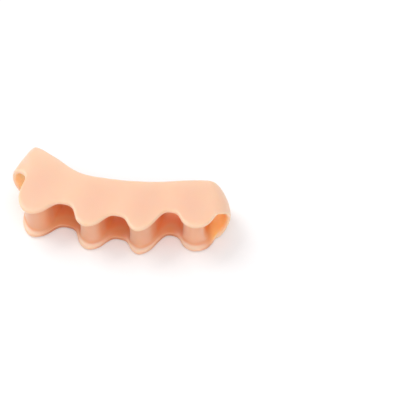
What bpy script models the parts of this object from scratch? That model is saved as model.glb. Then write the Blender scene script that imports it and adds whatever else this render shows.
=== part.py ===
"""Toe separator: one soft moulded piece with five toe openings, between two panels and four spacers."""

import bmesh
import bpy
import numpy as np
from mathutils import Matrix

# Sizes in metres. X runs from the big toe to the little toe, and the toe tips point along -Y.
NAME = "toe_separator"
HEIGHT = 0.0175
PANEL_THICKNESS = 0.0022
WALL_THICKNESS = 0.0023
END_ROUNDS = (0.0080, 0.0072)
END_BULGES = (0.0003, 0.0013)

# Widths at half height, from the big toe: five openings with four spacers between them
OPENING_WIDTHS = (0.0079, 0.0145, 0.0122, 0.0138, 0.0067)
SPACER_WIDTHS = (0.0152, 0.0106, 0.0102, 0.0094)

# Each spacer spreads into a lobe on both panels, by these widths to its left and to its right.
# Reaches are Y places of the panels' front edge. A pull draws the columns beside a flank to it.
LOBE_SPANS = ((0.0071, 0.0083), (0.0052, 0.0067), (0.0037, 0.0067), (0.0057, 0.0066))
LOBE_REACHES = (-0.0292, -0.0294, -0.0261, -0.0177)
LOBE_FULLNESS = 0.49
LOBE_PULL = 0.5
NOTCH_REACHES = (-0.0050, -0.0185, -0.0190, -0.0106, -0.0082)
NOTCH_FULLNESS = 0.93
NOTCH_PULL = 0.15
LOOP_SETBACKS = (0.0014, 0.0078)
LOOP_NECKS = (0.0008, -0.0008)
LOOP_FULLNESS = (0.77, 1.0)

# Y places of the back edge at the big toe wall, the four spacers and the little toe wall, with
# the hollow of the edge between the first two spacers
BACK_REACHES = (0.0152, 0.0080, 0.0018, 0.0054, 0.0109, 0.0140)
BACK_HOLLOW = 0.0018

# How far the back end of each wall and spacer lies from its front end along X
DRIFTS = (0.0023, 0.0015, 0.0009, 0.0, -0.0076, -0.0080)
BACK_TAPER = 0.80

# The spacers' ends stand in from the edges of the panels, and further in at half height
FRONT_LIP = 0.0030
BACK_LIP = 0.0040
WAIST = 0.0008
FOOT_FLARE = 0.0008

# The cage has four levels: the panel's outer skin, its inner skin, a shoulder and half height
PINCH = np.array([0.0, 0.0, 0.75, 1.0])
SHOULDER = 0.76
OUTER_ANGLES = np.radians([60, 44, 25, 0])
INNER_ANGLES = np.radians([75, 62, 32, 0])
LOBE_STEPS = 4
GAP_STEPS = 4
LOOP_STEPS = 3
DEPTH_STEPS = 3

SILICONE = (0.95, 0.62, 0.43, 1.0)
ROUGHNESS = 0.5

SPACERS = len(SPACER_WIDTHS)
STEPS = [1, LOOP_STEPS] + [LOBE_STEPS, GAP_STEPS] * (SPACERS - 1) + [LOBE_STEPS, LOOP_STEPS, 1]
CORNERS = np.concatenate([[0], np.cumsum(STEPS)])
COLUMNS = int(CORNERS[-1])
ROWS = DEPTH_STEPS + 2
HALF = HEIGHT / 2
CEILING = HALF - PANEL_THICKNESS


def smoothCurve(x, knots, values):
    """Cubic curve through the knots, whose slope at each knot comes from its neighbours."""
    slopes = np.gradient(values, knots)
    cell = np.clip(np.searchsorted(knots, x) - 1, 0, len(knots) - 2)
    step = knots[cell + 1] - knots[cell]
    t = (x - knots[cell]) / step
    rise = values[cell + 1] - values[cell]
    leave = step * slopes[cell] - rise
    arrive = rise - step * slopes[cell + 1]
    return values[cell] + t * rise + t * (1 - t) * ((1 - t) * leave + t * arrive)


def carrierPlaces():
    """X of the big toe wall's face, the middles of the spacers and the little toe wall's face."""
    edges = [0.0, WALL_THICKNESS]
    for opening, carrier in zip(OPENING_WIDTHS, SPACER_WIDTHS + (WALL_THICKNESS,)):
        edges += [edges[-1] + opening, edges[-1] + opening + carrier]
    edges = np.array(edges) - edges[-1] / 2
    return np.concatenate([edges[:1], (edges[2:-2:2] + edges[3:-2:2]) / 2, edges[-1:]])


def wallSections():
    """Insets along X, then heights, of each end wall's outer and inner face, on quarter ellipses."""
    sections = []
    for reach in END_ROUNDS:
        clear = reach - WALL_THICKNESS
        inner = reach - clear * np.cos(INNER_ANGLES), CEILING * np.sin(INNER_ANGLES)
        inner[0][0] = reach * (1 - np.cos(INNER_ANGLES[0]))
        inner[1][0] = HALF * np.sin(INNER_ANGLES[0])
        outer = reach * (1 - np.cos(OUTER_ANGLES)), HALF * np.sin(OUTER_ANGLES)
        sections.append(np.stack([outer, inner], axis=1))
    return sections


def stationsX(places, taper):
    """X of every station on each level, straight between the corners of walls, spacers and gaps."""
    first, last = (section[0] for section in wallSections())
    corners = [places[0] + first[0], places[0] + first[1]]
    for place, spans, waist in zip(places[1:-1], LOBE_SPANS, SPACER_WIDTHS):
        left, right = (taper * (span + (waist / 2 - span) * PINCH) for span in spans)
        corners += [place - left, place + right]
    corners += [places[-1] - last[1], places[-1] - last[0]]
    steps = np.arange(COLUMNS + 1.0)
    starts, stops = CORNERS[2:-2:2], CORNERS[3:-2:2]
    steps[starts + 1] -= LOBE_PULL
    steps[stops - 1] += LOBE_PULL
    steps[stops[:-1] + 1] -= NOTCH_PULL
    steps[starts[1:] - 1] += NOTCH_PULL
    return np.stack([np.interp(steps, CORNERS, level) for level in np.transpose(corners)], axis=1)


def frontY():
    """Y of the front edge at every station, from each lobe's tip over its flanks to the notches."""
    y = np.zeros(COLUMNS + 1)
    for spacer, tip in enumerate(LOBE_REACHES):
        tip_column = CORNERS[2 * spacer + 2] + LOBE_STEPS // 2
        for way, notch in ((-1, NOTCH_REACHES[spacer]), (1, NOTCH_REACHES[spacer + 1])):
            flank = (tip + notch) / 2
            shoulder = flank + (tip - flank) * LOBE_FULLNESS
            hollow = flank + (notch - flank) * NOTCH_FULLNESS
            run = [tip, shoulder, flank, hollow, notch]
            y[tip_column + way * np.arange(len(run))] = run
    y[:2] = NOTCH_REACHES[0]
    y[-2:] = NOTCH_REACHES[-1]
    return y


def flareFeet(grid):
    """Keeps each spacer's foot on the panel wider than its middle, by the flare on either side."""
    starts, stops = CORNERS[2:-2:2], CORNERS[3:-2:2]
    body = grid[:, 3, 1:-1, 0]
    for level in (1, 2):
        flare = FOOT_FLARE * (1 - PINCH[level])
        foot = grid[:, level, 1:-1, 0]
        foot[starts] = np.minimum(foot[starts], body[starts] - flare)
        foot[stops] = np.maximum(foot[stops], body[stops] + flare)


def placeGrid():
    """Place of every cage point, by station, level and row."""
    places = carrierPlaces()
    near_x = stationsX(places, 1.0)
    back_places = places + np.array(DRIFTS)
    far_x = stationsX(back_places, BACK_TAPER)
    z = np.tile([HALF, CEILING, CEILING * SHOULDER, 0.0], (COLUMNS + 1, 1))
    first, last = wallSections()
    z[[0, 1]] = first[1]
    z[[-1, -2]] = last[1]
    near_y = np.repeat(frontY()[:, None], 4, axis=1)
    near_y[:2] += LOOP_SETBACKS[0] * (1 - (z[:2] / HALF) ** 2)
    near_y[-2:] += LOOP_SETBACKS[1] * (1 - (z[-2:] / HALF) ** 2)
    turn = np.arange(1, LOOP_STEPS)[:, None] / LOOP_STEPS * np.pi / 2
    for wall, way, inward, full in zip((1, COLUMNS - 1), (1, -1), LOOP_NECKS, LOOP_FULLNESS):
        flank = wall + way * LOOP_STEPS
        loop = flank - way * np.arange(1, LOOP_STEPS)
        neck = near_x[flank] + way * inward
        near_x[loop] = neck + (near_x[wall, 0] - neck) * (1 - np.cos(turn) ** full)
        near_y[loop] = near_y[flank] + (near_y[wall, 0] - near_y[flank]) * np.sin(turn) ** full
    knots = np.insert(back_places, 2, back_places[1:3].mean())
    far_y = smoothCurve(far_x, knots, np.insert(BACK_REACHES, 2, BACK_HOLLOW))
    near = np.stack([near_x, near_y, z], axis=-1)[:, :, None]
    far = np.stack([far_x, far_y, z], axis=-1)[:, :, None]
    depth = np.linalg.norm(far - near, axis=-1)
    inset = WAIST * PINCH[None, :, None]
    start = (FRONT_LIP + inset) / depth
    stop = 1 - (BACK_LIP + inset) / depth
    rows = start + (stop - start) * np.linspace(0, 1, DEPTH_STEPS + 1)
    rows = np.concatenate([0 * start, rows, 1 + 0 * stop], axis=2)[..., None]
    grid = near + (far - near) * rows
    bulge = 4 * rows[..., 0] * (1 - rows[..., 0])
    grid[:2, ..., 0] -= END_BULGES[0] * bulge[:2]
    grid[-2:, ..., 0] += END_BULGES[1] * bulge[-2:]
    flareFeet(grid)
    return grid


def carried(face, level):
    """Whether a lattice face lies on this level under a spacer or an end wall."""
    place = face.calc_center_median()
    if abs(place.z + level) > 0.1:
        return False
    segment = int(np.searchsorted(CORNERS, place.x)) - 1
    wall = segment in (0, len(STEPS) - 1)
    spacer = segment % 2 == 0 and not wall
    return wall or spacer and 1 < place.y < ROWS - 1


def lower(cage, faces):
    """Extrudes faces of the lattice down by one level."""
    made = bmesh.ops.extrude_face_region(cage, geom=faces)["geom"]
    verts = [g for g in made if isinstance(g, bmesh.types.BMVert)]
    bmesh.ops.translate(cage, verts=verts, vec=(0, 0, -1))


def cageMesh():
    """Upper half of the piece: built on a plain lattice, then each point goes to its true place."""
    cage = bmesh.new()
    size = Matrix.Diagonal((COLUMNS, ROWS, 1.0, 1.0))
    bmesh.ops.create_grid(cage, x_segments=COLUMNS, y_segments=ROWS, size=0.5, matrix=size)
    bmesh.ops.translate(cage, verts=cage.verts, vec=(COLUMNS / 2, ROWS / 2, 0))
    lower(cage, cage.faces[:])
    for level in (1, 2):
        faces = [f for f in cage.faces if carried(f, level)]
        lower(cage, faces)
        bmesh.ops.delete(cage, geom=faces, context="FACES_ONLY")
    middle = [f for f in cage.faces if carried(f, 3)]
    bmesh.ops.delete(cage, geom=middle, context="FACES_ONLY")
    grid = placeGrid()
    for vert in cage.verts:
        column, row, level = round(vert.co.x), round(vert.co.y), -round(vert.co.z)
        vert.co = grid[column, level, row]
    bmesh.ops.recalc_face_normals(cage, faces=cage.faces)
    mesh = bpy.data.meshes.new(NAME)
    cage.to_mesh(mesh)
    cage.free()
    return mesh


def silicone():
    material = bpy.data.materials.new("silicone")
    material.use_nodes = True
    shader = material.node_tree.nodes["Principled BSDF"]
    shader.inputs["Base Color"].default_value = SILICONE
    shader.inputs["Roughness"].default_value = ROUGHNESS
    shader.inputs["Metallic"].default_value = 0.0
    return material


def main():
    for old in list(bpy.data.objects):
        bpy.data.objects.remove(old)
    collection = bpy.data.collections.new(NAME)
    bpy.context.scene.collection.children.link(collection)
    piece = bpy.data.objects.new(NAME, cageMesh())
    collection.objects.link(piece)
    piece.data.materials.append(silicone())
    piece.data.shade_smooth()
    mirror = piece.modifiers.new("Lower half", "MIRROR")
    mirror.use_axis = (False, False, True)
    mirror.merge_threshold = 0.0001
    soften = piece.modifiers.new("Soften", "SUBSURF")
    soften.levels = 1
    soften.render_levels = 1
    bpy.context.view_layer.update()
    corners = np.array(piece.evaluated_get(bpy.context.evaluated_depsgraph_get()).bound_box)
    low, high = corners.min(axis=0), corners.max(axis=0)
    piece.location = (-(low[0] + high[0]) / 2, -(low[1] + high[1]) / 2, -low[2])


main()
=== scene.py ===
import bpy
import numpy as np
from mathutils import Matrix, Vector


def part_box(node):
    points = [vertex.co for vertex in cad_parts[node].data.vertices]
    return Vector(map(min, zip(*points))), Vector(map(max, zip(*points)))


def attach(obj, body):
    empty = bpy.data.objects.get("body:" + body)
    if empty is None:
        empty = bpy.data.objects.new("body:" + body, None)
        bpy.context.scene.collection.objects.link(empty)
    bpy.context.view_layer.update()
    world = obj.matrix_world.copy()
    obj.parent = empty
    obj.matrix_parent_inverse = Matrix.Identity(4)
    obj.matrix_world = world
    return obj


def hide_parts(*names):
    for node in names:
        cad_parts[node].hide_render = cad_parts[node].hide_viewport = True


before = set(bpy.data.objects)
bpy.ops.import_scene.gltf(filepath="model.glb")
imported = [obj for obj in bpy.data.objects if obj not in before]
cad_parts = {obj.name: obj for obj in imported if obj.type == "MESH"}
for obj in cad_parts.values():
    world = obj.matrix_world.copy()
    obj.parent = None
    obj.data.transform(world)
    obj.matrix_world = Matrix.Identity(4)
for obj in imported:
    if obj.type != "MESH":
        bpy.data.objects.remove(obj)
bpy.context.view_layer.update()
print("frame loaded")

# The whole piece, in metres. X runs from the big toe to the little toe, and the toe tips point along -Y.
# Values in a row go from the big toe to the little toe.
separator = {
    "height": 0.0175,
    "panelThickness": 0.0022,
    "wallThickness": 0.0023,
    "endRounds": (0.0080, 0.0072),       # how far in along x each end's rounding starts
    "endBulges": (0.0003, 0.0013),       # how far each end wall swells out at the middle of its depth
    "openingWidths": (0.0079, 0.0145, 0.0122, 0.0138, 0.0067),
    "spacerWidths": (0.0152, 0.0106, 0.0102, 0.0094),
    "lobeSpans": ((0.0071, 0.0083), (0.0052, 0.0067), (0.0037, 0.0067), (0.0057, 0.0066)),  # left, right
    "lobeReaches": (-0.0292, -0.0294, -0.0261, -0.0177),            # y of the lobes' tips
    "lobeFullness": 0.49,                # a lobe's shoulder, as a share of the way from its flank to its tip
    "lobePull": 0.5,                     # columns that the shoulders are drawn out to the flanks
    "notchReaches": (-0.0050, -0.0185, -0.0190, -0.0106, -0.0082),  # y of the notches, end walls included
    "notchFullness": 0.93,
    "notchPull": 0.15,
    "loopSetbacks": (0.0014, 0.0078),    # how far the end walls' fronts stand back at half height
    "loopNecks": (0.0008, -0.0008),      # how far past the flank an end loop's mouth starts
    "loopPowers": (0.77, 1.0),           # 1 draws the mouth as a quarter ellipse, less draws it fuller
    "backReaches": (0.0152, 0.0080, 0.0018, 0.0054, 0.0109, 0.0140),  # y of the back edge, walls included
    "backHollow": 0.0018,                # y of the back edge between the first two spacers
    "drifts": (0.0023, 0.0015, 0.0009, 0.0, -0.0076, -0.0080),      # x from each one's front to its back
    "backTaper": 0.80,                   # a spacer's width at the back, as a share of its width at the front
    "frontLip": 0.0030,                  # how far the spacers stand in from the panels' front edge
    "backLip": 0.0040,
    "waist": 0.0008,                     # how much further in they stand at half height
    "footFlare": 0.0008,                 # how far a spacer's foot stands out past its middle, at least
    # the levels of the upper half: outer skin, inner skin, shoulder and middle
    "pinches": (0.0, 0.0, 0.75, 1.0),    # how far a spacer has narrowed at each level
    "shoulder": 0.76,                    # height of the shoulder, as a share of the inner skin's height
    "outerAngles": (60, 44, 25, 0),      # where those levels lie on the end walls' curves, in degrees
    "innerAngles": (75, 62, 32, 0),
    "subdivisions": 3,
}

# The lattice's steps over a lobe, an opening, an end loop and a spacer's depth, and its corners' columns
lobeSteps, gapSteps, loopSteps, depthSteps = 4, 4, 3, 3
gaps = len(separator["spacerWidths"]) - 1
steps = [1, loopSteps] + [lobeSteps, gapSteps] * gaps + [lobeSteps, loopSteps, 1]
corners = np.concatenate([[0], np.cumsum(steps)])
spacerLefts, spacerRights = corners[2:-2:2], corners[3:-2:2]
columns, rows, layers = int(corners[-1]), depthSteps + 2, 2 * len(separator["pinches"]) - 2


def smoothCurve(x, knots, values):
    # cubic through the knots; the slope at a knot is the mean slope of its two neighbours
    slopes = np.gradient(values, knots)
    cell = np.clip(np.searchsorted(knots, x) - 1, 0, len(knots) - 2)
    step = knots[cell + 1] - knots[cell]
    t = (x - knots[cell]) / step
    rise = values[cell + 1] - values[cell]
    leave = step * slopes[cell] - rise
    arrive = rise - step * slopes[cell + 1]
    return values[cell] + t * rise + t * (1 - t) * ((1 - t) * leave + t * arrive)


def carrierPlaces(p):
    # x of the end walls' outer faces and of the spacers' middles: the running sum of all widths, centred
    carriers = p["spacerWidths"] + (p["wallThickness"],)
    widths = np.ravel(list(zip(p["openingWidths"], carriers)))
    edges = np.concatenate([[0.0], np.cumsum([p["wallThickness"], *widths])])
    edges -= edges[-1] / 2
    return np.concatenate([edges[:1], (edges[2:-2:2] + edges[3:-2:2]) / 2, edges[-1:]])


def wallSections(p):
    # the end walls' outer and inner faces on quarter ellipses: inset = reach * (1 - cos a), z = half * sin a,
    # as an array by end, inset or height, face and level
    half, ceiling = p["height"] / 2, p["height"] / 2 - p["panelThickness"]
    outerAngles, innerAngles = np.radians(p["outerAngles"]), np.radians(p["innerAngles"])
    sections = []
    for reach in p["endRounds"]:
        outer = np.array([reach * (1 - np.cos(outerAngles)), half * np.sin(outerAngles)])
        clear = reach - p["wallThickness"]
        inner = np.array([reach - clear * np.cos(innerAngles), ceiling * np.sin(innerAngles)])
        inner[:, 0] = reach * (1 - np.cos(innerAngles[0])), half * np.sin(innerAngles[0])
        sections.append([outer, inner])
    return np.array(sections).transpose(0, 2, 1, 3)


def stationsX(p, places, taper):
    # x of each column on each level: straight between the sides of walls and spacers, where a side lies at
    # place + taper * (span + (half the spacer's width - span) * pinch)
    near, far = wallSections(p)[:, 0]
    pinch = np.array(p["pinches"])
    marks = [*(places[0] + near)]
    for place, spans, width in zip(places[1:-1], p["lobeSpans"], p["spacerWidths"]):
        left, right = (taper * (span + (width / 2 - span) * pinch) for span in spans)
        marks += [place - left, place + right]
    marks += [*(places[-1] - far[::-1])]
    run = np.arange(columns + 1.0)
    run[spacerLefts + 1] -= p["lobePull"]
    run[spacerRights - 1] += p["lobePull"]
    run[spacerRights[:-1] + 1] -= p["notchPull"]
    run[spacerLefts[1:] - 1] += p["notchPull"]
    return np.stack([np.interp(run, corners, level) for level in np.transpose(marks)], axis=1)


def frontY(p):
    # y of the front edge, in five columns from a lobe's tip to each notch beside it: the tip, the shoulder,
    # the flank halfway, the hollow and the notch, where shoulder = flank + (tip - flank) * fullness
    y = np.zeros(columns + 1)
    notches = p["notchReaches"]
    for tip, left, *besides in zip(p["lobeReaches"], spacerLefts, notches[:-1], notches[1:]):
        for way, notch in zip((-1, 1), besides):
            flank = (tip + notch) / 2
            shoulder = flank + (tip - flank) * p["lobeFullness"]
            hollow = flank + (notch - flank) * p["notchFullness"]
            y[left + lobeSteps // 2 + way * np.arange(5)] = [tip, shoulder, flank, hollow, notch]
    y[:2], y[-2:] = notches[0], notches[-1]
    return y


def levelHeights(p):
    # z of each column on the upper half's levels: outer skin, inner skin, shoulder and middle
    half, ceiling = p["height"] / 2, p["height"] / 2 - p["panelThickness"]
    z = np.tile([half, ceiling, ceiling * p["shoulder"], 0.0], (columns + 1, 1))
    z[[0, 1]], z[[-1, -2]] = wallSections(p)[:, 1]
    return z


def frontLine(p, z):
    # the front edge by column and level; the end walls are set back by setback * (1 - (z / half) ** 2), and
    # a loop's mouth goes from flank to wall by 1 - cos(turn) ** power in x and sin(turn) ** power in y
    x = stationsX(p, carrierPlaces(p), 1.0)
    y = np.repeat(frontY(p)[:, None], z.shape[1], axis=1)
    setback = 1 - (z / (p["height"] / 2)) ** 2
    y[:2] += p["loopSetbacks"][0] * setback[:2]
    y[-2:] += p["loopSetbacks"][1] * setback[-2:]
    turn = np.arange(1, loopSteps)[:, None] / loopSteps * np.pi / 2
    for wall, way, neck, power in zip((1, columns - 1), (1, -1), p["loopNecks"], p["loopPowers"]):
        flank = wall + way * loopSteps
        mouth = flank - way * np.arange(1, loopSteps)
        start = x[flank] + way * neck
        x[mouth] = start + (x[wall, 0] - start) * (1 - np.cos(turn) ** power)
        y[mouth] = y[flank] + (y[wall, 0] - y[flank]) * np.sin(turn) ** power
    return np.stack([x, y, z], axis=-1)


def backLine(p, z):
    # the back edge by column and level: the front's stations, drifted and narrowed, on one smooth curve
    # whose hollow lies halfway between the first two spacers
    places = carrierPlaces(p) + np.array(p["drifts"])
    x = stationsX(p, places, p["backTaper"])
    knots = np.insert(places, 2, places[1:3].mean())
    y = smoothCurve(x, knots, np.insert(p["backReaches"], 2, p["backHollow"]))
    return np.stack([x, y, z], axis=-1)


def upperGrid(p):
    # points by column, level and row: near + (far - near) * share, where the share is 0 at the front edge,
    # goes in even steps from one lip to the other, and is 1 at the back edge
    z = levelHeights(p)
    near, far = frontLine(p, z)[:, :, None], backLine(p, z)[:, :, None]
    depth = np.linalg.norm(far - near, axis=-1)
    pinch = np.array(p["pinches"])
    inset = p["waist"] * pinch[None, :, None]
    start = (p["frontLip"] + inset) / depth
    stop = 1 - (p["backLip"] + inset) / depth
    share = start + (stop - start) * np.linspace(0, 1, depthSteps + 1)
    share = np.concatenate([0 * start, share, 1 + 0 * stop], axis=2)
    grid = near + (far - near) * share[..., None]
    bulge = 4 * share * (1 - share)
    grid[:2, ..., 0] -= p["endBulges"][0] * bulge[:2]
    grid[-2:, ..., 0] += p["endBulges"][1] * bulge[-2:]
    for level in (1, 2):
        # on the inner skin and the shoulder, a foot is never narrower than the middle and a flare
        flare = p["footFlare"] * (1 - pinch[level])
        foot, middle = grid[:, level, 1:-1, 0], grid[:, -1, 1:-1, 0]
        foot[spacerLefts] = np.minimum(foot[spacerLefts], middle[spacerLefts] - flare)
        foot[spacerRights] = np.maximum(foot[spacerRights], middle[spacerRights] + flare)
    return grid


def fullGrid(p):
    # the upper half, and the same with z turned over, by column, row and layer from top skin to bottom skin
    upper = upperGrid(p).transpose(0, 2, 1, 3)
    lower = upper[:, :, -2::-1] * np.array([1.0, 1.0, -1.0])
    return np.concatenate([upper, lower], axis=2)


def solidCells():
    # which lattice cells hold silicone: both panels everywhere, walls on every row, spacers inside the lips
    solid = np.zeros((columns, rows, layers), bool)
    solid[:, :, [0, -1]] = True
    segment = np.searchsorted(corners, np.arange(columns) + 0.5) - 1
    wall = (segment == 0) | (segment == len(steps) - 1)
    spacer = (segment % 2 == 0) & ~wall
    solid[wall] = True
    solid[spacer, 1:-1] = True
    return solid


def boundaryQuads(solid):
    # a quad wherever a filled cell meets an empty one, turned so that it faces the empty side
    quads = []
    for axis in range(3):
        filled = np.pad(solid, 1).astype(int)
        change = np.diff(filled, axis=axis)
        trim = [slice(1, -1)] * 3
        trim[axis] = slice(None)
        change = change[tuple(trim)]
        one, two = np.roll(np.eye(3, dtype=int), -axis - 1, axis=0)[:2]
        for sign in (1, -1):
            at = np.argwhere(change == sign)
            ring = [at, at + one, at + one + two, at + two]
            quads.append(np.stack(ring if sign < 0 else ring[::-1], axis=1))
    return np.concatenate(quads)


def latticeMesh(name, grid, solid):
    # the boundary quads, and the lattice points that they use, with each point's column, row and layer
    quads = boundaryQuads(solid)
    keys, faces = np.unique(np.ravel_multi_index(quads.reshape(-1, 3).T, grid.shape[:3]), return_inverse=True)
    mesh = bpy.data.meshes.new(name)
    mesh.from_pydata(grid.reshape(-1, 3)[keys].tolist(), [], faces.reshape(-1, 4).tolist())
    mesh.update()
    for way, values in zip(("column", "row", "layer"), np.unravel_index(keys, grid.shape[:3])):
        mesh.attributes.new(way, "FLOAT", "POINT").data.foreach_set("value", values.astype(np.float32))
    return mesh


def softened(name, mesh, levels):
    # one smooth skin: the lattice's corners are rounded by Subdivision Surface, and the result is kept
    draft = bpy.data.objects.new(name + "_draft", mesh)
    bpy.context.scene.collection.objects.link(draft)
    smooth = draft.modifiers.new("soften", "SUBSURF")
    smooth.levels = smooth.render_levels = levels
    bpy.context.view_layer.update()
    graph = bpy.context.evaluated_depsgraph_get()
    finished = bpy.data.meshes.new_from_object(draft.evaluated_get(graph))
    finished.name = name
    bpy.data.objects.remove(draft)
    return finished


def pointPlaces(mesh):
    # x, y and z of each point
    flat = np.empty(len(mesh.vertices) * 3, np.float32)
    mesh.vertices.foreach_get("co", flat)
    return flat.reshape(-1, 3).astype(float)


def centredIn(mesh, low, high):
    # the mesh moved by the middle of the box less the middle of its own box
    place = pointPlaces(mesh)
    place += (low + high) / 2 - (place.min(axis=0) + place.max(axis=0)) / 2
    mesh.vertices.foreach_set("co", place.ravel().astype(np.float32))
    mesh.update()


lattice = latticeMesh("separatorLattice", fullGrid(separator), solidCells())
mesh = softened("separator", lattice, separator["subdivisions"])
place = pointPlaces(mesh)
centredIn(mesh, *(np.array(corner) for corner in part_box("toe_separator")))
mesh.shade_smooth()
print("separator:", len(mesh.vertices), "points, size in mm", np.round(np.ptp(place, axis=0) * 1000, 2))

# Where the tints lie, in lattice steps: rows go from 0 at the front edge to 5 at the back edge, layers from
# 0 at the upper skin to 6 at the lower, columns from 0 at the big toe end to 36 at the little toe end.
# Two numbers are where a tint begins and where it is full, and two more where it fades and where it is gone.
# Most tints are painted light: painted shade in the openings, notches and lower edges, painted highlights on
# rims, lips and spacer corners, and a painted glow in the end loops.
tints = {
    "patchWidth": 0.0080,                # half width and length of the pinker patch on a spacer, in metres
    "patchLength": 0.0135,
    "lobeWidth": 0.0070,                 # half width of a lobe, in metres
    "skinDepth": (0.7, 1.1),             # layers in from the nearer skin, where the openings' insides begin
    "openingEnds": (0.5, 1.0),           # columns in from the nearer end
    "openingRows": (0.35, 0.95),
    "bigToeLoop": (1.4, 4.6),            # columns in from an end, where the painted light inside its loop fades
    "littleToeLoop": (1.4, 4.8),
    "throughWallGlow": (1.4, 4.2),           # the same for the painted glow that stands in for light coming through the end walls
    "loopEnds": (0.3, 0.85),             # columns in from an end, where its loop's inside begins
    "loopRows": (-0.25, 0.3),
    "loopFade": (2.8, 4.6),              # rows over which the loops' painted light fades, and how much of it goes
    "loopFading": 0.7,
    "lastSpacerLight": (-3.0, 0.5),           # columns past the last spacer's left corner, where the painted light on its faces begins and is full
    # painted shade deep in the openings
    "deepRows": (0.9, 2.0, 3.0, 4.1),
    "turnStarts": (1.7, 1.3, 1.0, 0.3),  # columns before each spacer's right corner where its painted shade starts
    "turnEnd": 0.5,                      # columns past that corner where the painted shade stops
    "turnRows": (1.6, 2.2),
    "turnStrength": 0.55,
    "faceDepth": (1.0, 1.5),             # layers in from the nearer skin, where a spacer's front face begins
    "faceRows": (0.8, 1.0, 1.1, 1.6),
    "leftLight": 0.45,                   # half width of the painted highlight along a spacer's left corner, in columns
    "rightLight": 0.60,                  # the same before its right corner, and how strong that one is
    "rightStrength": 0.60,
    "rightShift": 0.2,                   # columns before the painted shade starts, where the right painted highlight is strongest
    "cornerStrength": 0.40,
    "footPlace": (1.2, 1.0),             # layers from the nearer skin and row of the painted shade line along a spacer's foot
    "footWidth": (0.3, 0.2),             # the line's half widths in layers and in rows
    "floorLayers": (4.3, 4.8, 5.05, 5.4),  # the lower panel's inner skin
    # painted shade on the lower panel's inner skin in the notches
    "notchRows": (-0.2, 0.25, 1.2, 2.4),
    # a painted highlight along the lower panel's lip
    "lipRows": (0.0, 0.3, 0.5, 1.1),
    "lipLeast": 0.4,                     # the painted highlight's strength at the lip's very edge
    "lipInNotch": 0.08,                  # its strength in the notches
    "lipShares": (0.55, 1.0, 1.0, 1.0),  # its strength at each lobe
    "edgeRows": (0.0, 0.9),              # where the front edge fades into the panels
    "rimLayers": (1.0, 3.0),             # where the upper rim's painted highlight fades downwards
    "rimInNotch": 0.45,                  # its strength in the notches
    "backRimHighlight": (3.4, 5.0),               # rows where the painted highlight along the back edge begins and is full
    "backRimHighlightStrength": 0.8,
    "lowerEdgeShade": (5.0, 5.5),             # layers where the painted shade on the lower front edge begins and is full
    # painted shade on the lower panel's front edge in the notches
    "notchEdgeShade": (4.9, 5.2),
}


def ramp(values, low, high):
    # 3 t² - 2 t³, where t goes from 0 at low to 1 at high
    t = np.clip((values - low) / (high - low), 0, 1)
    return t * t * (3 - 2 * t)


def band(values, low, high, fade, gone):
    # a ramp up from low to high, times one down from fade to gone
    return ramp(values, low, high) * (1 - ramp(values, fade, gone))


def bell(values, width):
    # e to the power of -(value / width)²
    return np.exp(-(values / width) ** 2)


def atLeast(least, strength):
    # least + (1 - least) * strength
    return least + (1 - least) * strength


def spacerOffsets(p, place):
    # x of each point from each spacer's leaning middle line, and y from the middle of that line
    tips, backs = np.array(p["lobeReaches"]), np.array(p["backReaches"][1:-1])
    along = np.clip((place[:, 1:2] - tips) / (backs - tips), 0, 1)
    across = place[:, :1] - carrierPlaces(p)[1:-1] - np.array(p["drifts"][1:-1]) * along
    return across, place[:, 1:2] - (tips + backs) / 2


def pointValues(mesh, name):
    # one value a point, as the mesh keeps it
    values = np.empty(len(mesh.vertices), np.float32)
    mesh.attributes[name].data.foreach_get("value", values)
    return values


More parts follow.
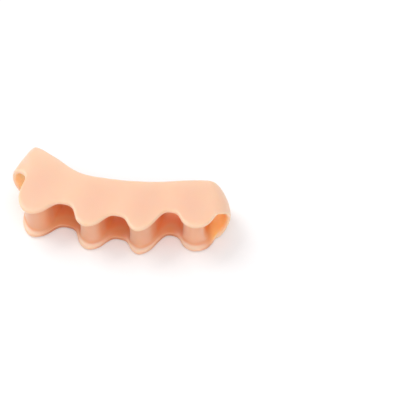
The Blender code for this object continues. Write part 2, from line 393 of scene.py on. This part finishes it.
def paintedLightAndTints(p, across, along, column, row, layer):
    # each tint's strength at each point, from 0 to 1, as a product of ramps and bells over the lattice; most
    # tints are painted shade or painted highlights
    fromSkin = np.minimum(layer, layers - layer)
    fromEnd = np.minimum(column, columns - column)
    pastLeft = column[:, None] - spacerLefts
    pastRight = column[:, None] - spacerRights
    turnStarts = np.array(p["turnStarts"])

    lobes = np.exp(-(across / p["lobeWidth"]) ** 4)  # a bell with a flat top over each lobe
    underLobe = lobes.max(axis=1)
    byBigToe = 1 - ramp(column, *p["bigToeLoop"])
    byLittleToe = 1 - ramp(columns - column, *p["littleToeLoop"])
    byWall = byBigToe + byLittleToe
    inNotch = (1 - underLobe) * (1 - byWall)

    skinDepth = ramp(fromSkin, *p["skinDepth"])
    opening = skinDepth * ramp(fromEnd, *p["openingEnds"]) * ramp(row, *p["openingRows"])
    loop = skinDepth * ramp(fromEnd, *p["loopEnds"]) * ramp(row, *p["loopRows"])
    loop *= 1 - p["loopFading"] * ramp(row, *p["loopFade"])

    faceDepth = ramp(fromSkin, *p["faceDepth"])
    # painted shade where a spacer's front face turns towards the opening on its right
    shade = (ramp(pastRight, -turnStarts, 0.0) * (pastRight < p["turnEnd"])).max(axis=1)
    shade *= p["turnStrength"] * faceDepth * (1 - ramp(row, *p["turnRows"]))
    # painted highlights along each spacer's front corners
    leftLight = bell(pastLeft, p["leftLight"])
    rightLight = p["rightStrength"] * bell(pastRight + turnStarts + p["rightShift"], p["rightLight"])
    cornerLight = p["cornerStrength"] * np.maximum(leftLight, rightLight).max(axis=1)
    footLayer, footRow = p["footPlace"]
    layerWidth, rowWidth = p["footWidth"]

    floorSkin = band(layer, *p["floorLayers"])
    frontEdge = 1 - ramp(row, *p["edgeRows"])
    lipRise, lipFade = p["lipRows"][:2], p["lipRows"][2:]
    # painted highlight along the lower panel's lip, weaker in the notches
    lipHighlight = floorSkin * atLeast(p["lipLeast"], ramp(row, *lipRise)) * (1 - ramp(row, *lipFade)) * (1 - byWall)
    lipShare = (np.array(p["lipShares"]) * lobes).max(axis=1)
    # painted highlight: a paler, creamier band along the upper panel's front rim and along the back edge
    rimHighlight = frontEdge * (1 - ramp(layer, *p["rimLayers"]))
    rimHighlight *= atLeast(p["rimInNotch"], np.maximum(underLobe, byWall))

    return {
        "overSpacer": (bell(across, p["patchWidth"]) * bell(along, p["patchLength"])).max(axis=1),
        # painted shade on the faces that look into the openings between the spacers
        "openingShade": opening * (1 - byWall),
        # painted light: the last spacer's faces in the openings lighter than the others
        "lastSpacerLight": opening * ramp(pastLeft[:, -1], *p["lastSpacerLight"]),
        # painted shade deep in the openings and on each spacer's right flank
        "deepShade": opening * np.maximum(band(row, *p["deepRows"]), shade),
        # painted light: the insides of the end loops, paler as if lit through the thin walls
        "bigToeLoopLight": loop * byBigToe,
        "littleToeLoopLight": loop * byLittleToe,
        # painted glow inside the end loops, standing in for light through the thin walls
        "thinWallGlow": loop * (1 - ramp(fromEnd, *p["throughWallGlow"])),
        # painted highlight along a spacer's front corners
        "spacerCornerHighlight": cornerLight * faceDepth * band(row, *p["faceRows"]),
        # painted shade: a darker line where a spacer's foot meets the lower panel
        "foot": bell(fromSkin - footLayer, layerWidth) * bell(row - footRow, rowWidth) * underLobe,
        # painted shade on the floor of the notches
        "notchFloorShade": floorSkin * band(row, *p["notchRows"]) * inNotch,
        "lipHighlight": lipHighlight * atLeast(p["lipInNotch"], lipShare),
        "rimHighlight": np.maximum(rimHighlight, p["backRimHighlightStrength"] * ramp(row, *p["backRimHighlight"])),
        # painted shade on the lower panel's front edge
        "lowerEdgeShade": ramp(layer, *p["lowerEdgeShade"]) * frontEdge * (1 - byWall),
        # painted shade on the lower front edge in the notches
        "notchEdgeShade": ramp(layer, *p["notchEdgeShade"]) * frontEdge * inNotch,
    }


across, along = spacerOffsets(separator, place)
latticeWays = [pointValues(mesh, way) for way in ("column", "row", "layer")]
for name, strength in paintedLightAndTints(tints, across, along, *latticeWays).items():
    kept = mesh.attributes.new(name, "FLOAT", "POINT")
    kept.data.foreach_set("value", np.clip(strength, 0, 1).astype(np.float32))
print("tints stored")

silicone = {
    "mottle": ((0.985, 0.59, 0.41), (0.95, 0.645, 0.45)),  # the skin's two shades
    "mottleSize": 0.012,
    "mottleDetail": 2.0,
    # laid over the skin in this order; most of them are painted shade or painted highlights
    "tints": {
        "overSpacer": (0.96, 0.56, 0.40),
        # painted highlight along the rims
        "rimHighlight": (0.975, 0.65, 0.47),
        # painted shade on the lower front edge
        "lowerEdgeShade": (0.94, 0.55, 0.37),
        # painted shade inside the openings
        "openingShade": (0.84, 0.465, 0.29),
        # painted light on the last spacer's faces
        "lastSpacerLight": (0.94, 0.51, 0.33),
        # painted shade deep in the openings
        "deepShade": (0.92, 0.31, 0.10),
        # painted shade in the notches
        "notchFloorShade": (0.84, 0.40, 0.18),
        # painted light inside the end loops
        "bigToeLoopLight": (0.95, 0.81, 0.52),
        "littleToeLoopLight": (0.93, 0.60, 0.23),
        # painted highlight along the lip
        "lipHighlight": (1.0, 0.70, 0.56),
        # painted shade on the notches' lower edge
        "notchEdgeShade": (0.63, 0.255, 0.125),
        # painted highlight along the spacers' corners
        "spacerCornerHighlight": (0.97, 0.56, 0.42),
        # painted shade along the spacers' feet
        "foot": (0.89, 0.455, 0.255),
    },
    "throughWallGlow": (1.0, 0.45, 0.14),    # painted glow: emission that stands in for light coming through the thin walls at the ends
    "throughWallGlowStrength": 0.15,
    "roughness": 0.38,
    "sheen": 0.25,
    "sheenRoughness": 0.4,
    "sheenTint": (1.0, 0.92, 0.88),
    "scatter": 0.0016,                   # how far light spreads under the skin
    "radius": (1.0, 0.75, 0.55),         # red, green and blue as shares of that
    "grain": 0.0006,                     # size and height of the fine grain
    "grainDetail": 3.0,
    "bump": 0.00003,
}


def noiseNode(nodes, size, detail):
    # noise with blotches of about the size in metres: scale = 1 / size
    noise = nodes.new("ShaderNodeTexNoise")
    noise.inputs["Scale"].default_value = 1 / size
    noise.inputs["Detail"].default_value = detail
    return noise


def mixNode(nodes, over):
    # (1 - factor) * A + factor * B, where B is the colour laid over
    mix = nodes.new("ShaderNodeMix")
    mix.data_type = "RGBA"
    mix.inputs["B"].default_value = (*over, 1)
    return mix


def tintNode(nodes, name):
    # a tint's strength, as the mesh keeps it
    tint = nodes.new("ShaderNodeAttribute")
    tint.attribute_name = name
    return tint


def siliconeMaterial(p):
    # colour = the mottled skin, then (1 - strength) * colour + strength * tint for each tint in turn, most of
    # them painted shade and painted highlights
    material = bpy.data.materials.new("peachSilicone")
    material.use_nodes = True
    nodes, links = material.node_tree.nodes, material.node_tree.links
    shader = nodes["Principled BSDF"]
    shader.inputs["Roughness"].default_value = p["roughness"]
    shader.inputs["Sheen Weight"].default_value = p["sheen"]
    shader.inputs["Sheen Roughness"].default_value = p["sheenRoughness"]
    shader.inputs["Sheen Tint"].default_value = (*p["sheenTint"], 1)
    shader.inputs["Subsurface Weight"].default_value = 1.0
    shader.inputs["Subsurface Radius"].default_value = p["radius"]
    shader.inputs["Subsurface Scale"].default_value = p["scatter"]
    shader.inputs["Emission Strength"].default_value = p["throughWallGlowStrength"]
    coordinates = nodes.new("ShaderNodeTexCoord")

    blotches = noiseNode(nodes, p["mottleSize"], p["mottleDetail"])
    links.new(coordinates.outputs["Object"], blotches.inputs["Vector"])
    skin = mixNode(nodes, p["mottle"][1])
    skin.inputs["A"].default_value = (*p["mottle"][0], 1)
    links.new(blotches.outputs["Fac"], skin.inputs["Factor"])
    colour = skin.outputs["Result"]
    for name, tint in p["tints"].items():
        mix = mixNode(nodes, tint)
        links.new(tintNode(nodes, name).outputs["Fac"], mix.inputs["Factor"])
        links.new(colour, mix.inputs["A"])
        colour = mix.outputs["Result"]
    links.new(colour, shader.inputs["Base Color"])

    # painted glow inside the end loops, though nothing there is a lamp
    glow = mixNode(nodes, p["throughWallGlow"])
    glow.inputs["A"].default_value = (0, 0, 0, 1)
    links.new(tintNode(nodes, "thinWallGlow").outputs["Fac"], glow.inputs["Factor"])
    links.new(glow.outputs["Result"], shader.inputs["Emission Color"])

    grain = noiseNode(nodes, p["grain"], p["grainDetail"])
    links.new(coordinates.outputs["Object"], grain.inputs["Vector"])
    bump = nodes.new("ShaderNodeBump")
    bump.inputs["Distance"].default_value = p["bump"]
    links.new(grain.outputs["Fac"], bump.inputs["Height"])
    links.new(bump.outputs["Normal"], shader.inputs["Normal"])
    return material


piece = bpy.data.objects.new("separator", mesh)
bpy.context.scene.collection.objects.link(piece)
piece.data.materials.append(siliconeMaterial(silicone))
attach(piece, "root")
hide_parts("toe_separator")
print("silicone done")

# Floor and lamps. A lamp has its name, place, size, power and colour, and it shines on the origin.
studio = {
    "floorSize": 6.0,
    "floorColour": (0.91, 0.90, 0.91),
    "floorRoughness": 0.9,
    "floorGlow": 0.10,                   # how much the floor glows under the piece
    "farGlow": 0.50,
    "glowReach": (0.15, 0.60),           # distances between which the floor brightens to the far glow
    "floorDrop": 0.00002,                # keeps the floor clear of the piece's underside
    "world": 0.66,
    "lamps": (
        ("key", (-1.02, 0.46, 1.10), 0.95, 9.5, (1.0, 0.99, 0.97)),
        ("front", (0.32, -0.52, 0.75), 0.6, 2.4, (1.0, 1.0, 1.0)),
    ),
}


def mathNode(nodes, links, operation, *inputs):
    # the operation on both inputs, held between 0 and 1
    node = nodes.new("ShaderNodeMath")
    node.operation = operation
    node.use_clamp = True
    for socket, value in zip(node.inputs, inputs):
        links.new(value, socket)
    return node.outputs[0]


def floorMaterial(p):
    # white by colour, and glowing for the rays that see it: glow = seen * smoothstep of the distance
    material = bpy.data.materials.new("paleFloor")
    material.use_nodes = True
    nodes, links = material.node_tree.nodes, material.node_tree.links
    shader = nodes["Principled BSDF"]
    shader.inputs["Base Color"].default_value = (*p["floorColour"], 1)
    shader.inputs["Roughness"].default_value = p["floorRoughness"]
    shader.inputs["Specular IOR Level"].default_value = 0.0
    shader.inputs["Emission Color"].default_value = (1, 1, 1, 1)
    path = nodes.new("ShaderNodeLightPath").outputs
    seen = mathNode(nodes, links, "ADD", path["Is Camera Ray"], path["Is Glossy Ray"])
    seen = mathNode(nodes, links, "ADD", seen, path["Is Transmission Ray"])
    coordinates = nodes.new("ShaderNodeTexCoord")
    distance = nodes.new("ShaderNodeVectorMath")
    distance.operation = "LENGTH"
    links.new(coordinates.outputs["Object"], distance.inputs[0])
    reach = nodes.new("ShaderNodeMapRange")
    reach.interpolation_type = "SMOOTHSTEP"
    ends = (*p["glowReach"], p["floorGlow"], p["farGlow"])
    for name, value in zip(("From Min", "From Max", "To Min", "To Max"), ends):
        reach.inputs[name].default_value = value
    links.new(distance.outputs["Value"], reach.inputs["Value"])
    glow = mathNode(nodes, links, "MULTIPLY", seen, reach.outputs["Result"])
    links.new(glow, shader.inputs["Emission Strength"])
    return material


def buildFloor(p):
    # a square of the floor's size, just under z = 0
    half, z = p["floorSize"] / 2, -p["floorDrop"]
    floorMesh = bpy.data.meshes.new("floor")
    square = [(-half, -half, z), (half, -half, z), (half, half, z), (-half, half, z)]
    floorMesh.from_pydata(square, [], [(0, 1, 2, 3)])
    floor = bpy.data.objects.new("floor", floorMesh)
    bpy.context.scene.collection.objects.link(floor)
    floor.data.materials.append(floorMaterial(p))


def buildWorld(p):
    # white, at full strength where the camera sees it and at the world's strength as light
    world = bpy.data.worlds.new("studio")
    bpy.context.scene.world = world
    world.use_nodes = True
    nodes, links = world.node_tree.nodes, world.node_tree.links
    background = nodes["Background"]
    background.inputs["Color"].default_value = (1, 1, 1, 1)
    path = nodes.new("ShaderNodeLightPath")
    strength = nodes.new("ShaderNodeMix")
    strength.inputs["A"].default_value = p["world"]
    strength.inputs["B"].default_value = 1.0
    links.new(path.outputs["Is Camera Ray"], strength.inputs["Factor"])
    links.new(strength.outputs["Result"], background.inputs["Strength"])


def buildLamps(p):
    # each lamp turned so that its -Z points at the origin
    for name, spot, size, power, colour in p["lamps"]:
        light = bpy.data.lights.new(name, "AREA")
        light.size, light.energy, light.color = size, power, colour
        lamp = bpy.data.objects.new(name, light)
        bpy.context.scene.collection.objects.link(lamp)
        lamp.location = spot
        lamp.rotation_euler = (-Vector(spot)).to_track_quat("-Z", "Y").to_euler()


# The photograph's view, in metres and degrees
view = {
    "target": (0.038292, 0.018173, 0.0),
    "distance": 0.4487,
    "azimuth": 15.4,                     # from the toe tips' side, turned towards the little toe
    "elevation": 46.53,
    "lens": 83.5,
    "nearest": 0.01,                     # the camera sees nothing nearer than this
}


def buildCamera(p):
    # away = (cos e sin a, -cos e cos a, sin e), and the camera stands at target + distance * away
    azimuth, elevation = np.radians([p["azimuth"], p["elevation"]])
    level = np.cos(elevation)
    away = Vector((level * np.sin(azimuth), -level * np.cos(azimuth), np.sin(elevation)))
    camera = bpy.data.objects.new("camera", bpy.data.cameras.new("camera"))
    bpy.context.scene.collection.objects.link(camera)
    camera.data.lens = p["lens"]
    camera.data.clip_start = p["nearest"]
    camera.location = Vector(p["target"]) + away * p["distance"]
    camera.rotation_euler = away.to_track_quat("Z", "Y").to_euler()
    bpy.context.scene.camera = camera


buildFloor(studio)
buildWorld(studio)
buildLamps(studio)
buildCamera(view)
bpy.context.scene.view_settings.view_transform = "Standard"
print("studio and camera done")
